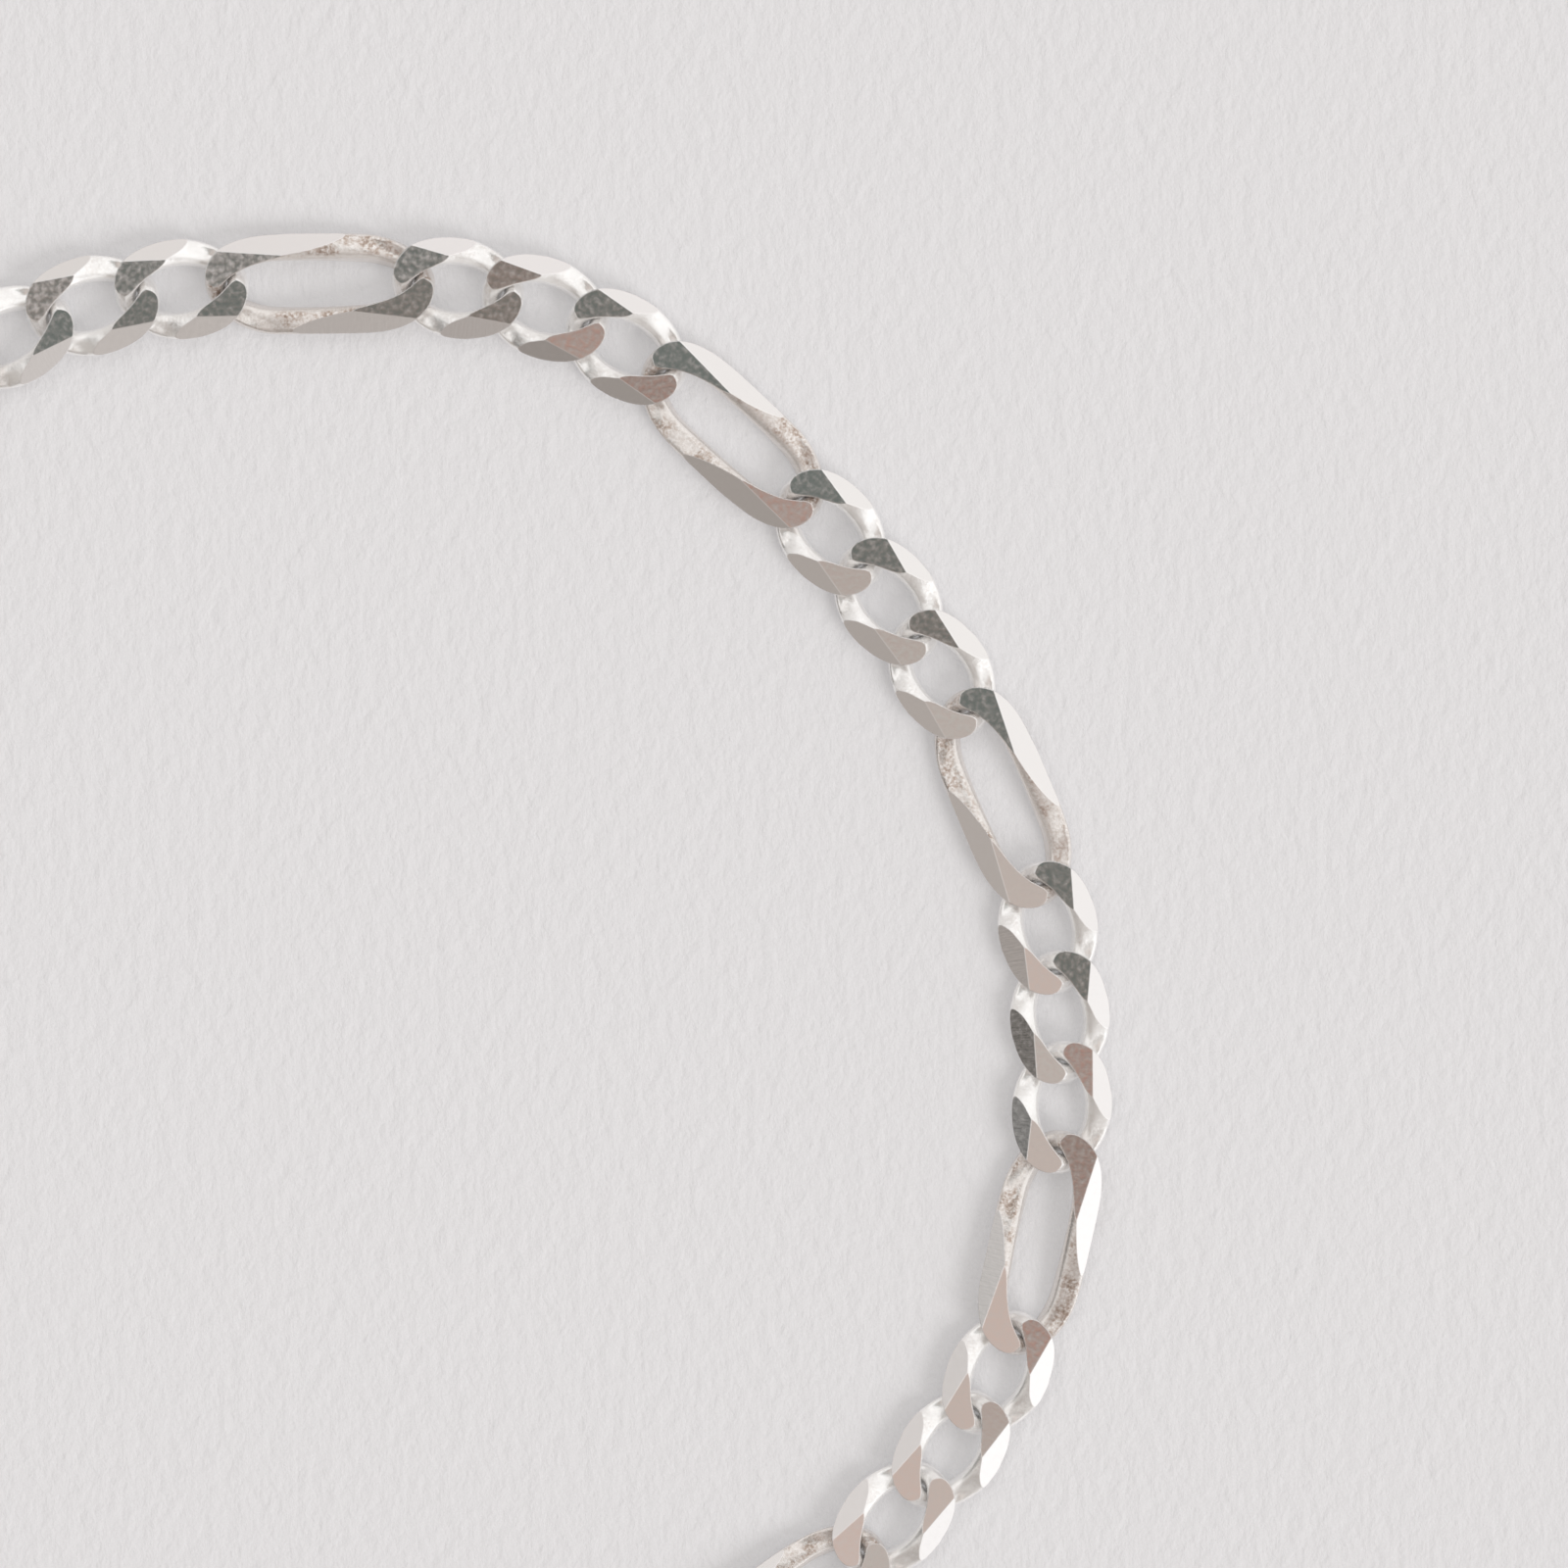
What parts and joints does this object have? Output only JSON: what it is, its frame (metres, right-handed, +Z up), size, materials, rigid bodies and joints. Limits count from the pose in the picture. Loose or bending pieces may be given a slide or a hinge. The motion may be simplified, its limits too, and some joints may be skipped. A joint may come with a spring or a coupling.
{
  "type": "link bracelet",
  "caption": "Flat curb-link bracelet of short and long silver links with bevelled, bright-cut faces, lying closed in a ring and fastened by a small box clasp.",
  "frame": {"origin": "on the surface it lies on, at the middle of the closed ring", "axes": "+Z up out of the surface, through the wrist opening; +Y across the ring, with the clasp at its -X side"},
  "size_m": [0.0645, 0.0645, 0.0023],
  "materials": {
    "links": "sterling silver, bright-cut flats and bevels with fine tool marks, raw skin in the low parts",
    "clasp": "sterling silver, plain polished case"
  },
  "bodies": {
    "root": {"short_link_01": "links", "short_link_02": "links", "short_link_03": "links", "long_link_04": "links", "short_link_05": "links", "short_link_06": "links", "short_link_07": "links", "long_link_08": "links", "short_link_09": "links", "short_link_10": "links", "short_link_11": "links", "long_link_12": "links", "short_link_13": "links", "short_link_14": "links", "short_link_15": "links", "long_link_16": "links", "short_link_17": "links", "short_link_18": "links", "short_link_19": "links", "long_link_20": "links", "short_link_21": "links", "short_link_22": "links", "short_link_23": "links", "long_link_24": "links", "short_link_25": "links", "short_link_26": "links", "short_link_27": "links", "long_link_28": "links", "short_link_29": "links", "short_link_30": "links", "short_link_31": "links", "long_link_32": "links", "short_link_33": "links", "short_link_34": "links", "short_link_35": "links", "long_link_36": "links", "short_link_37": "links", "short_link_38": "links", "short_link_39": "links", "clasp": "clasp"}
  },
  "joints": []
}
